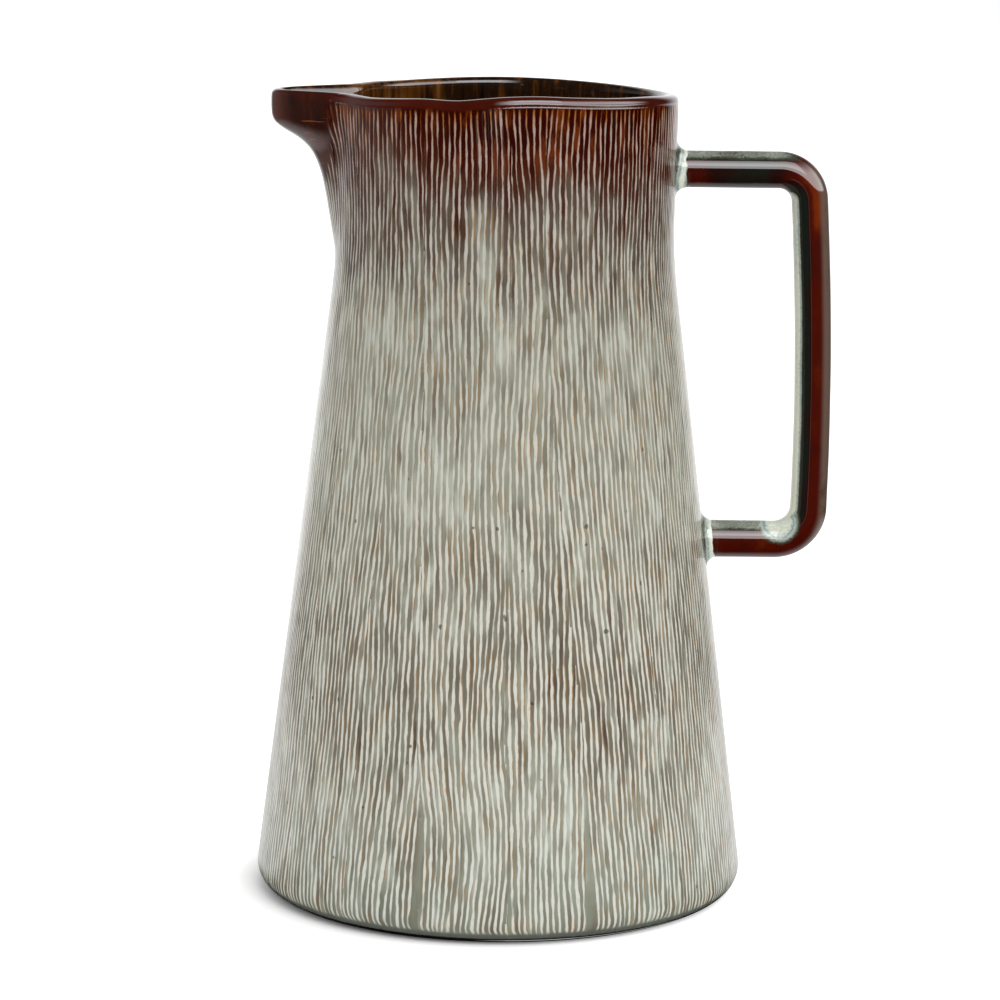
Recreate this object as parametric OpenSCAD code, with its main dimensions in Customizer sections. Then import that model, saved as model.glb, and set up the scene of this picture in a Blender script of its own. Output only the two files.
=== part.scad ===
// Tapered stoneware jug with a beak spout and a bent rod handle.
// The foot stands on z = 0, the handle points to +X and the spout to -X.

/* [Body] */
// Height from the table to the rim
jug_h = 220; // [200:1:250]
// Diameter of the tapered wall just above the foot
base_d = 133.4; // [125:0.1:150]
// Smallest outer diameter, at the waist
waist_d = 91.2; // [84:0.1:100]
// Height of the waist above the table
waist_h = 182; // [160:1:188]
// Radius of the hollow curve that joins the taper and the neck
waist_curve_r = 123; // [60:1:200]
// Outward lean of the neck, in degrees
neck_flare = 0.9; // [0.1:0.1:3]
// Thickness of the wall
wall_t = 4.4; // [3.5:0.1:6]
// Thickness of the floor above the foot's recess
floor_t = 6; // [4:0.1:9]
// Radius of the rounded corner between the foot and the wall
foot_curve_r = 6.5; // [4:0.1:9]
// Width of the ring that the jug stands on
foot_ring_w = 5.5; // [3:0.1:9]
// Depth of the recess inside the foot ring
foot_recess = 2; // [1:0.1:3]
// Radius of the corner between the floor and the inside of the wall
cavity_curve_r = 9; // [5:0.5:14]
// How far the rounded lip swells past each face of the wall
lip_swell = 0.1; // [0.05:0.05:0.6]

/* [Spout] */
// How far the tip of the spout reaches past the neck
spout_reach = 17; // [12:0.5:22]
// Height of the spout, from its tail on the wall to its lip
spout_h = 45; // [36:1:56]
// How far the spout's lip lies below the rim
spout_drop = 0.8; // [0.4:0.1:3]
// Half of the angle round the jug that the spout takes up at its lip, in degrees
spout_spread = 38; // [30:1:46]
// How sharply the spout narrows to its tip: the power of its bell-shaped outline
spout_point = 3.1; // [2:0.1:4]
// Thickness of the spout's lip
spout_lip_t = 3.4; // [2.8:0.1:4.2]
// Depth of the spout's channel below its lip
channel_depth = 28; // [20:0.5:30]
// Radius of the rounded edges of the spout's lip
spout_edge_r = 1.3; // [0.8:0.1:1.3]

/* [Handle] */
// Diameter of the handle's rod
rod_d = 10; // [8:0.1:12]
// Depth of the top bar's centre line below the rim
top_bar_drop = 22.4; // [16:0.1:30]
// Distance between the centre lines of the two bars
handle_h = 100.4; // [80:0.1:115]
// Distance from the jug's axis to the upright's centre line, where the top bend ends
handle_reach = 82; // [76:0.1:95]
// Radius of the upright's outward bow
handle_bow_r = 842; // [600:10:1500]
// Outward lean of the upright where the top bend ends, in degrees
handle_lean = 4; // [3:0.1:5]
// Radius of the top bend, on the rod's centre line
top_bend_r = 8.4; // [7:0.1:12]
// Radius of the bottom bend, on the rod's centre line
bottom_bend_r = 9.4; // [7:0.1:12]

/* [Slip collars] */
// Radius of the hollow fillet that a collar makes between rod and wall
collar_curve_r = 2.4; // [1.5:0.1:3.5]
// Thickness of a collar's edge on the rod
collar_edge_t = 0.5; // [0.4:0.05:0.8]

/* [Hidden] */
$fn = 180;
// Facets of a full circle on the two curves of large radius
fine_fn = 1440;

// How far a cut runs past the face that it opens
overrun = 1;
// How deep the spout's flanks and tail start under the skin that they grow from
spout_bite = 1.2;
// Gap between the wall and each piece that is stuck to it
seat_gap = 0.05;

// The outer wall in section: a taper that is tangent to the waist's curve, and a neck that is too
base_r = base_d / 2;
waist_r = waist_d / 2;
waist_curve_x = waist_r + waist_curve_r;
taper_far = norm([waist_curve_x - base_r, waist_h - foot_curve_r]);
taper_angle = asin(waist_curve_r / taper_far) - atan2(waist_curve_x - base_r, waist_h - foot_curve_r);
taper_top_h = waist_h - waist_curve_r * sin(taper_angle);
neck_low_h = waist_h + waist_curve_r * sin(neck_flare);

// Outer radius of the tapered wall, of the neck, and of whichever of them or of the waist is at height z
function taper_r(z) = base_r - (z - foot_curve_r) * tan(taper_angle);
function neck_r(z) = waist_curve_x - waist_curve_r * cos(neck_flare) + (z - neck_low_h) * tan(neck_flare);
function waist_wall_r(z) = waist_curve_x - sqrt(pow(waist_curve_r, 2) - pow(z - waist_h, 2));
function wall_r(z) = z < taper_top_h ? taper_r(z) : z < neck_low_h ? waist_wall_r(z) : neck_r(z);

// The section of a turned form whose skin lies inset inside the outer wall, between two heights.
// The corner between its underside and its side has the given radius.
module turned_section(inset, low, corner_r, high) {
    bend_r = waist_curve_r + inset;
    corner_x = taper_r(low + corner_r) - (inset + corner_r) / cos(taper_angle);
    neck_low = [waist_curve_x - bend_r * cos(neck_flare), waist_h + bend_r * sin(neck_flare)];
    translate([corner_x, low + corner_r]) circle(r = corner_r);
    difference() {
        polygon([
            [0, low],
            [corner_x, low],
            [corner_x + corner_r * cos(taper_angle), low + corner_r + corner_r * sin(taper_angle)],
            [waist_curve_x - bend_r * cos(taper_angle), waist_h - bend_r * sin(taper_angle)],
            neck_low,
            [neck_low[0] + (high - neck_low[1]) * tan(neck_flare), high],
            [0, high]
        ]);
        translate([waist_curve_x, waist_h]) circle(r = bend_r, $fn = fine_fn);
    }
}

// Outer radius of the flat ring that the jug stands on, and of the recess inside it
foot_r = taper_r(foot_curve_r) - foot_curve_r / cos(taper_angle);
recess_r = foot_r - foot_ring_w;

// The rounded lip is a circle in section, with its centre in the middle of the wall
lip_r = wall_t / 2 + lip_swell;
lip_h = jug_h - lip_r;
lip_x = neck_r(lip_h) - wall_t / 2 / cos(neck_flare);

// The jug's outer form up to its lip, grown all over by the gap that is given
module outer_section(gap) {
    translate([lip_x, lip_h]) circle(r = lip_r + gap);
    turned_section(-gap, 0, foot_curve_r, lip_h);
}

// What the added pieces are trimmed to: the jug's outer form, filled and carried up past the rim
module filled_vessel() {
    rotate_extrude() {
        outer_section(seat_gap);
        square([lip_x, jug_h + overrun]);
    }
}

// The turned vessel before the spout's channel is cut, with its cavity and foot recess
module vessel() {
    rotate_extrude() {
        difference() {
            outer_section(0);
            turned_section(wall_t, foot_recess + floor_t, cavity_curve_r, jug_h + overrun);
            polygon([
                [0, -overrun],
                [recess_r, -overrun],
                [recess_r, 0],
                [recess_r - foot_recess, foot_recess],
                [0, foot_recess]
            ]);
        }
    }
}

// The spout in side view, from its tail to the rim: shares of its height and of its reach.
// A long shallow tail, a hollow throat, then a blunt upright tip.
spout_profile_shares = [
    [0, 0], [0.16, 0.08], [0.33, 0.15], [0.47, 0.22], [0.57, 0.31], [0.64, 0.42],
    [0.7, 0.6], [0.75, 0.82], [0.79, 0.95], [0.84, 1], [1, 1]
];
// Share of the spout's height over which its tail dives under the skin
spout_dive_share = 0.08;
// Share of the spread that is left at the spout's tail
spout_tail_share = 0.6;
// Points along one flank of the spout, and the power that crowds them towards its tip
spout_flank_steps = 12;
spout_crowding = 1.3;
spout_top_h = jug_h - spout_drop;
spout_tail_h = spout_top_h - spout_h;

// The spout's reach share at height z, and its spread there when its widest is spread
function spout_share(z) = lookup((z - spout_tail_h) / spout_h, spout_profile_shares);
function spout_width(z, spread) =
    spread * (spout_tail_share + (1 - spout_tail_share) * min((z - spout_tail_h) / spout_h, 1));

// A bell: 1 in the middle, falling to 0 at both ends, where u runs from -1 to 1
function bell(u) = pow((1 + cos(180 * u)) / 2, spout_point);

// One level of a beak at height z: the jug's axis, then points round it on the -X side
function beak_level(z, skin_r, reach, spread) = [
    [0, 0, z],
    for (i = [-spout_flank_steps : spout_flank_steps])
        let (
            u = sign(i) * pow(abs(i) / spout_flank_steps, spout_crowding),
            r = skin_r - spout_bite + (reach + spout_bite) * bell(u)
        )
            [-r * cos(u * spread), -r * sin(u * spread), z]
];

// A closed solid through a stack of levels that have as many points each, every one seen from its first
module loft(levels) {
    count = len(levels[0]);
    top = (len(levels) - 1) * count;
    polyhedron(
        points = [for (level = levels) each level],
        faces = [
            for (i = [1 : count - 2]) [0, i, i + 1],
            for (i = [1 : count - 2]) [top, top + i + 1, top + i],
            for (k = [0 : len(levels) - 2], i = [0 : count - 1])
                let (a = k * count + i, b = k * count + (i + 1) % count)
                    each [[a, a + count, b], [b, a + count, b + count]]
        ]
    );
}

// Where the spout's tail comes out of the wall from
spout_dive_h = spout_tail_h - spout_h * spout_dive_share;
// Where the rounded edge of the spout's lip begins, the levels below it, and how it rounds off above
spout_edge_h = spout_top_h - spout_edge_r;
spout_heights = [
    for (pair = spout_profile_shares)
        if (pair[0] < 1) spout_tail_h + spout_h * pair[0]
];
edge_angles = [0, 45, 90];
function edge_rise(angle) = spout_edge_r * sin(angle);
function edge_inset(angle) = spout_edge_r * (1 - cos(angle));

module beak() {
    loft([
        let (z = spout_dive_h)
            beak_level(z, wall_r(z), -spout_bite, spout_width(spout_tail_h, spout_spread)),
        for (z = spout_heights)
            beak_level(z, wall_r(z), spout_reach * spout_share(z), spout_width(z, spout_spread)),
        for (angle = edge_angles)
            beak_level(
                spout_edge_h + edge_rise(angle), neck_r(spout_edge_h) - edge_inset(angle),
                spout_reach, spout_spread
            )
    ]);
}

// How high the channel is where the beak is at height z
function channel_height(z) = spout_top_h - (spout_top_h - z) * channel_depth / spout_h;

// The channel is the beak's own form, set in by the thickness of the wall and lip, and less deep
module channel() {
    full_reach = spout_reach + wall_t - spout_lip_t;
    throat_spread = spout_spread - asin(spout_lip_t / wall_r(spout_top_h));
    edge_skin_r = neck_r(spout_edge_h) - wall_t;
    loft([
        let (h = channel_height(spout_dive_h))
            beak_level(h, wall_r(h) - wall_t, -spout_bite, spout_width(spout_tail_h, throat_spread)),
        for (z = spout_heights)
            let (h = channel_height(z))
                if (h < spout_edge_h)
                    beak_level(
                        h, wall_r(h) - wall_t, full_reach * spout_share(z), spout_width(z, throat_spread)
                    ),
        for (angle = edge_angles)
            if (angle < 90)
                beak_level(
                    spout_edge_h + edge_rise(angle), edge_skin_r + edge_inset(angle),
                    full_reach, throat_spread
                ),
        beak_level(jug_h + overrun, edge_skin_r + 2 * spout_edge_r, full_reach, throat_spread)
    ]);
}

module body() {
    color([0.62, 0.6, 0.52])
    difference() {
        vessel();
        channel();
    }
}

// The spout's foot takes the curve of the wall, and its channel runs on into the mouth
module spout() {
    color([0.25, 0.1, 0.05])
    difference() {
        difference() {
            beak();
            channel();
        }
        filled_vessel();
    }
}

// The handle's centre line lies in the plane y = 0: top bar, top bend, bowed upright, bottom bend and bar
rod_r = rod_d / 2;
top_bar_h = jug_h - top_bar_drop;
bottom_bar_h = top_bar_h - handle_h;
top_bend = [handle_reach - top_bend_r * cos(handle_lean), top_bar_h - top_bend_r];
bow = [
    handle_reach - handle_bow_r * cos(handle_lean),
    top_bend[1] + (top_bend_r - handle_bow_r) * sin(handle_lean)
];
bow_end = asin((bottom_bar_h + bottom_bend_r - bow[1]) / (handle_bow_r - bottom_bend_r));
bottom_bend = bow + (handle_bow_r - bottom_bend_r) * [cos(bow_end), sin(bow_end)];
// Sides of the rod, and stations along a bend and along the bow
rod_sides = 24;
bend_steps = 8;
bow_steps = 6;

// Stations of the centre line along an arc: the place in the plane, and the angle that the section faces.
// The first and the last of them are left out as often as skip says.
function arc_stations(centre, arc_r, from, to, steps, skip = 0) = [
    for (i = [skip : steps - skip])
        let (angle = from + (to - from) * i / steps)
            [centre[0] + arc_r * cos(angle), centre[1] + arc_r * sin(angle), angle]
];
// Where a bar starts, in the middle of the wall at height h
function bar_start(h, angle) = [wall_r(h) - wall_t / 2, h, angle];
rod_stations = concat(
    [bar_start(top_bar_h, 90)],
    arc_stations(top_bend, top_bend_r, 90, handle_lean, bend_steps),
    arc_stations(bow, handle_bow_r, handle_lean, bow_end, bow_steps, 1),
    arc_stations(bottom_bend, bottom_bend_r, bow_end, -90, bend_steps),
    [bar_start(bottom_bar_h, -90)]
);

// One ring of the rod: a circle across the centre line
function rod_ring(station) = [
    for (i = [0 : rod_sides - 1])
        let (turn = 360 * i / rod_sides, out = rod_r * cos(turn))
            [
                station[0] + out * cos(station[2]),
                -rod_r * sin(turn),
                station[1] + out * sin(station[2])
            ]
];

module handle() {
    color([0.3, 0.1, 0.05])
    difference() {
        loft([for (station = rod_stations) rod_ring(station)]);
        filled_vessel();
    }
}

// A straight stretch of the rod, from the middle of the wall out to x
module rod_bar(h, x) {
    from = wall_r(h) - wall_t / 2;
    translate([from, 0, h]) rotate([0, 90, 0]) cylinder(r = rod_r, h = x - from);
}

// A fillet of slip round the rod at height h. It leans halfway with the wall, whose lean is given.
module slip_collar(h, lean) {
    edge_r = rod_r + collar_edge_t;
    rim_r = edge_r + collar_curve_r;
    skirt = wall_t / 2;
    difference() {
        translate([wall_r(h), 0, h])
            rotate([0, 90 - lean / 2, 0])
                rotate_extrude()
                    difference() {
                        translate([0, -skirt]) square([rim_r, skirt + collar_curve_r]);
                        translate([rim_r, collar_curve_r]) circle(r = collar_curve_r);
                    }
        rod_bar(h, bottom_bend[0]);
        filled_vessel();
    }
}

module upper_slip_collar() {
    color([0.55, 0.62, 0.58]) slip_collar(top_bar_h, -neck_flare);
}

module lower_slip_collar() {
    color([0.6, 0.65, 0.58]) slip_collar(bottom_bar_h, taper_angle);
}

body();
spout();
handle();
upper_slip_collar();
lower_slip_collar();
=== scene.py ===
import bisect
import math
import random

import bmesh
import bpy
from mathutils import Matrix, Vector, noise


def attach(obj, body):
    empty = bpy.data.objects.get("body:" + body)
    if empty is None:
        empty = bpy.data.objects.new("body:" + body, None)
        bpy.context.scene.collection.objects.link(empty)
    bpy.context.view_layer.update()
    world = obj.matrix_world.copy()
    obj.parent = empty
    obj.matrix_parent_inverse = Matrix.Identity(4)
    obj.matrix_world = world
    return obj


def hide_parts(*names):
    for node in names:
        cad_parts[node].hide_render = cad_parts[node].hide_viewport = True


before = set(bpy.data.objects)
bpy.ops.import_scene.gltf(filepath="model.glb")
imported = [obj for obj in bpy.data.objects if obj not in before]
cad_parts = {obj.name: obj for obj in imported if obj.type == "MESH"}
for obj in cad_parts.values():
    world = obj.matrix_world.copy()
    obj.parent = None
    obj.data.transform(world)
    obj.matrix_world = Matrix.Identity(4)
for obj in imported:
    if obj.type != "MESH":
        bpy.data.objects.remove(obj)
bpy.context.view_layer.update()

mm = 0.001
fullTurn = math.tau
weldWithin = 1e-4  # millimetres: points that lie closer become one
halfway = 100  # millimetres: the rim and the notch lie above this height, the foot below it

# Plain sums that the pieces share


def clamp(value, low=0.0, high=1.0):
    return min(max(value, low), high)


def smoothStep(low, high, value):
    t = clamp((value - low) / (high - low))
    return t * t * (3 - 2 * t)


def readTable(table, place):  # a smooth curve through pairs of place and height
    i = int(clamp(bisect.bisect_right(table, (place, math.inf)) - 1, 0, len(table) - 2))
    (x0, y0), (x1, y1) = table[i], table[i + 1]
    before, after = table[max(i - 1, 0)], table[min(i + 2, len(table) - 1)]
    run = x1 - x0
    leave = (y1 - before[1]) / (x1 - before[0]) * run
    arrive = (after[1] - y0) / (after[0] - x0) * run
    t = clamp((place - x0) / run)
    return (
        (2 * t**3 - 3 * t**2 + 1) * y0 + (t**3 - 2 * t**2 + t) * leave
        + (3 * t**2 - 2 * t**3) * y1 + (t**3 - t**2) * arrive
    )


def wrapTurn(angle):  # the same direction, between minus and plus half a turn
    return (angle + math.pi) % fullTurn - math.pi


def grain(place, *sizes):  # noise with features of these sizes along x, y and z, in millimetres
    return noise.noise(Vector(c / s for c, s in zip(place, sizes)))


# The turned form that every piece sits on, in millimetres and degrees

jugForm = {
    "height": 220,
    "baseRadius": 66.7,
    "waistRadius": 45.6,
    "waistHeight": 182,
    "waistCurve": 123,
    "neckFlare": 0.9,
    "wall": 4.4,
    "footCurve": 6.5,
    "footRing": 5.5,
    "footRecess": 2,
    "floor": 6,
    "cavityCurve": 9,
    "lipSteps": 22,
    "lipRoll": 0.6,
    # the step from the foot ring up into the recess: outwards from its edge, and up
    "recessEdge": [(1.2, 0), (0.3, 0.25), (0, 0.8), (-1.2, 1.9)],
    # how far the hand-made rim dips, by degrees round from the handle, anticlockwise from above
    "rimDip": [
        (-180, 1.55), (-165, 1.7), (-152, 1.95), (-143, 2.1), (-130, 1.8), (-119, 1.5), (-107, 1.7),
        (-99, 1.15), (-91, 0.6), (-80, 0.35), (-66, 0.75), (-50, 1.1), (-32, 1.2), (-15, 1.6), (2, 1.9),
        (20, 1.9), (41, 1.4), (60, 0.8), (75, 0.35), (90, 0.12), (104, 0.2), (119, 0.5), (132, 0.75),
        (148, 0.7), (165, 1.05), (180, 1.55),
    ],
    "rimDipFrom": 188,
    "rimDipTo": 214,
}

curveCentre = jugForm["waistRadius"] + jugForm["waistCurve"]
flare = math.radians(jugForm["neckFlare"])
taperRise = jugForm["waistHeight"] - jugForm["footCurve"]
taper = math.asin(jugForm["waistCurve"] / math.hypot(curveCentre - jugForm["baseRadius"], taperRise))
taper -= math.atan2(curveCentre - jugForm["baseRadius"], taperRise)
taperTop = jugForm["waistHeight"] - jugForm["waistCurve"] * math.sin(taper)
neckLow = jugForm["waistHeight"] + jugForm["waistCurve"] * math.sin(flare)
lipRadius = jugForm["wall"] / 2
lipHeight = jugForm["height"] - lipRadius
lipSteps = jugForm["lipSteps"]


def wallRadius(z):
    if z < taperTop:
        return jugForm["baseRadius"] - (z - jugForm["footCurve"]) * math.tan(taper)
    if z < neckLow:
        return curveCentre - math.sqrt(jugForm["waistCurve"] ** 2 - (z - jugForm["waistHeight"]) ** 2)
    return curveCentre - jugForm["waistCurve"] * math.cos(flare) + (z - neckLow) * math.tan(flare)


lipMiddle = wallRadius(lipHeight) - lipRadius / math.cos(flare)


def lipPoint(k):
    # over the lip from the outside to the inside; its edges are rolled more tightly than its top
    a = math.pi * k / lipSteps
    rise = max(math.sin(a), 0) ** jugForm["lipRoll"]
    return lipMiddle + lipRadius * math.cos(a), lipHeight + lipRadius * rise


footCentre = wallRadius(jugForm["footCurve"]) - jugForm["footCurve"] / math.cos(taper)
footTop = jugForm["footCurve"] * (1 + math.sin(taper))

# The spout swells out of the wall: its reach by height, and a bell shape round the jug

spoutForm = {
    "reach": 17,
    "lip": 3.4,
    "top": 219.2,
    "height": 45,
    "spread": 38,
    "throatSpread": 33.8,
    "throatHeight": 28,
    "tailSpread": 0.6,
    "point": 3.1,
    "profile": [
        (0, 0), (0.16, 0.08), (0.33, 0.15), (0.47, 0.22), (0.57, 0.31), (0.64, 0.42),
        (0.7, 0.6), (0.75, 0.82), (0.79, 0.95), (0.84, 1), (1, 1),
    ],
}


def bell(turn, spread):
    u = min(abs(turn) / spread, 1)
    return ((1 + math.cos(math.pi * u)) / 2) ** spoutForm["point"]


def swellAt(turn, z, reach, spread, tall):
    share = clamp((z - spoutForm["top"] + tall) / tall)
    if share == 0:
        return 0
    width = spoutForm["tailSpread"] + (1 - spoutForm["tailSpread"]) * share
    return reach * readTable(spoutForm["profile"], share) * bell(turn, spread * width)


def placeOnJug(radius, height, angle, outside):
    # from the plain turned form to the finished one; outside is 1 on the outer skin and 0 on the inner
    dip = readTable(jugForm["rimDip"], math.degrees(wrapTurn(angle)))
    z = height - dip * smoothStep(jugForm["rimDipFrom"], jugForm["rimDipTo"], height)
    turn = math.degrees(wrapTurn(angle - math.pi))
    outer = swellAt(turn, z, spoutForm["reach"], spoutForm["spread"], spoutForm["height"])
    inReach = spoutForm["reach"] + jugForm["wall"] - spoutForm["lip"]
    inner = swellAt(turn, z, inReach, spoutForm["throatSpread"], spoutForm["throatHeight"])
    r = radius + outside * outer + (1 - outside) * inner
    return Vector((r * math.cos(angle), r * math.sin(angle), z))


# Materials and the room: sums on sockets are written as plain expressions


def paint(colour):
    # a colour as it is seen, three numbers from 0 to 255, made linear; a socket or a linear colour stays
    if isinstance(colour, Value) or len(colour) > 3:
        return colour
    return tuple(
        (c / 12.92 if c <= 0.04045 else ((c + 0.055) / 1.055) ** 2.4) for c in (part / 255 for part in colour)
    ) + (1.0,)


class Value:
    # a socket that can be added, multiplied and so on
    def __init__(self, look, socket):
        self.look, self.socket = look, socket

    def sum(self, operation, first, second=0.0):
        return self.look.node("ShaderNodeMath", {"operation": operation}, {0: first, 1: second})

    def __add__(self, other):
        return self.sum("ADD", self, other)

    __radd__ = __add__

    def __sub__(self, other):
        return self.sum("SUBTRACT", self, other)

    def __rsub__(self, other):
        return self.sum("SUBTRACT", other, self)

    def __mul__(self, other):
        return self.sum("MULTIPLY", self, other)

    __rmul__ = __mul__

    def __rtruediv__(self, other):
        return self.sum("DIVIDE", other, self)

    def __truediv__(self, other):
        return self.sum("DIVIDE", self, other)

    def part(self, operation):  # FLOOR, FRACT, ABSOLUTE and the like
        return self.sum(operation, self)


class Look:
    # one node tree and the nodes that it is made of
    def __init__(self, owner):
        owner.use_nodes = True
        self.tree = owner.node_tree
        self.tree.nodes.clear()
        self.place = self.node("ShaderNodeTexCoord", output=3)

    def node(self, kind, settings=None, sockets=None, output=0):
        made = self.tree.nodes.new(kind)
        for name, value in (settings or {}).items():
            setattr(made, name, value)
        for name, value in (sockets or {}).items():
            if isinstance(value, Value):
                self.tree.links.new(value.socket, made.inputs[name])
            else:
                made.inputs[name].default_value = value
        return Value(self, made.outputs[output]) if made.outputs else None

    def split(self, vector):
        return [self.node("ShaderNodeSeparateXYZ", sockets={0: vector}, output=k) for k in range(3)]

    def smooth(self, low, high, value):
        settings = {"interpolation_type": "SMOOTHSTEP"}
        return self.node("ShaderNodeMapRange", settings, {0: value, 1: low, 2: high})

    def mix(self, factor, first, second):
        sockets = {0: factor, 6: paint(first), 7: paint(second)}
        return self.node("ShaderNodeMix", {"data_type": "RGBA"}, sockets, 2)

    def cloud(self, sizes, detail=2.0, roughness=0.5, shift=0.0):
        # noise from 0 to 1 with features of these sizes along x, y and z, in millimetres
        scale = tuple(1 / (size * mm) for size in sizes)
        moved = {"Vector": self.place, "Scale": scale, "Location": (shift, shift / 2, -shift)}
        where = self.node("ShaderNodeMapping", sockets=moved)
        sockets = {"Vector": where, "Scale": 1.0, "Detail": detail, "Roughness": roughness}
        return self.node("ShaderNodeTexNoise", sockets=sockets)

    def along(self, index, height, length, shift):
        # noise from 0 to 1 that runs up and down one line or ridge, told by its index
        sockets = {0: 3.17 * index + shift, 1: height / (length * mm)}
        where = self.node("ShaderNodeCombineXYZ", sockets=sockets)
        return self.node("ShaderNodeTexNoise", sockets={"Vector": where, "Scale": 1.0, "Detail": 1.0})

    def read(self, name):  # a number that the mesh carries at its points
        return self.node("ShaderNodeAttribute", {"attribute_name": name}, output=2)

    def steps(self, factor, colours):
        # colours that follow each other as the factor grows: pairs of place and colour
        (low, colour), rest = colours[0], colours[1:]
        for high, following in rest:
            colour = self.mix(self.smooth(low, high, factor), colour, following)
            low = high
        return colour

    def bump(self, depth, height):
        sockets = {"Strength": 1.0, "Distance": depth * mm, "Height": height}
        return self.node("ShaderNodeBump", sockets=sockets)

    def finish(self, sockets):
        surface = self.node("ShaderNodeBsdfPrincipled", sockets=sockets)
        self.node("ShaderNodeOutputMaterial", sockets={"Surface": surface})


# the glaze's smooth skin gives all the shine; what lies under it is dull
glassyCoat = {"Specular IOR Level": 0.0, "Coat Weight": 1.0, "Coat Roughness": 0.03}

jugTones = {
    # how thick the glaze lies, and its colour there
    "ground": [
        (-0.3, (26, 16, 15)), (-0.08, (44, 4, 0)), (0.1, (54, 13, 4)), (0.26, (66, 34, 22)),
        (0.42, (84, 71, 60)), (0.62, (113, 107, 93)), (0.86, (145, 145, 130)),
        (1.08, (172, 176, 164)), (1.35, (202, 206, 200)),
    ],
    # millimetres below the rim, and the colour of the combed lines there
    "lines": [
        (2, (155, 117, 91)), (14, (166, 144, 132)), (30, (178, 168, 158)), (44, (184, 181, 172)),
        (70, (190, 188, 176)), (110, (203, 201, 189)), (150, (210, 208, 197)), (215, (212, 213, 203)),
    ],
    "beak": [(0.3, (26, 18, 18)), (0.5, (48, 22, 16)), (0.75, (74, 34, 22))],
    "lining": [(0.3, (14, 9, 6)), (0.52, (36, 20, 9)), (0.7, (82, 46, 14)), (0.9, (112, 74, 32))],
    "lineTips": ((168, 104, 34), (128, 58, 10)),
    "rim": ((46, 5, 2), (76, 24, 10)),
    "celadon": (122, 133, 121),
    "ember": (112, 48, 8),
    "ochre": (156, 120, 78),
    "scratch": (150, 84, 46),
    "warm": (84, 40, 27),
    "pit": (70, 54, 42),
    "lowBand": (92, 98, 92),
    # near black: raw clay at the foot's edge, and painted contact shade where the jug meets the floor
    "rawClayAndContactShade": (22, 15, 13),
}


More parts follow.
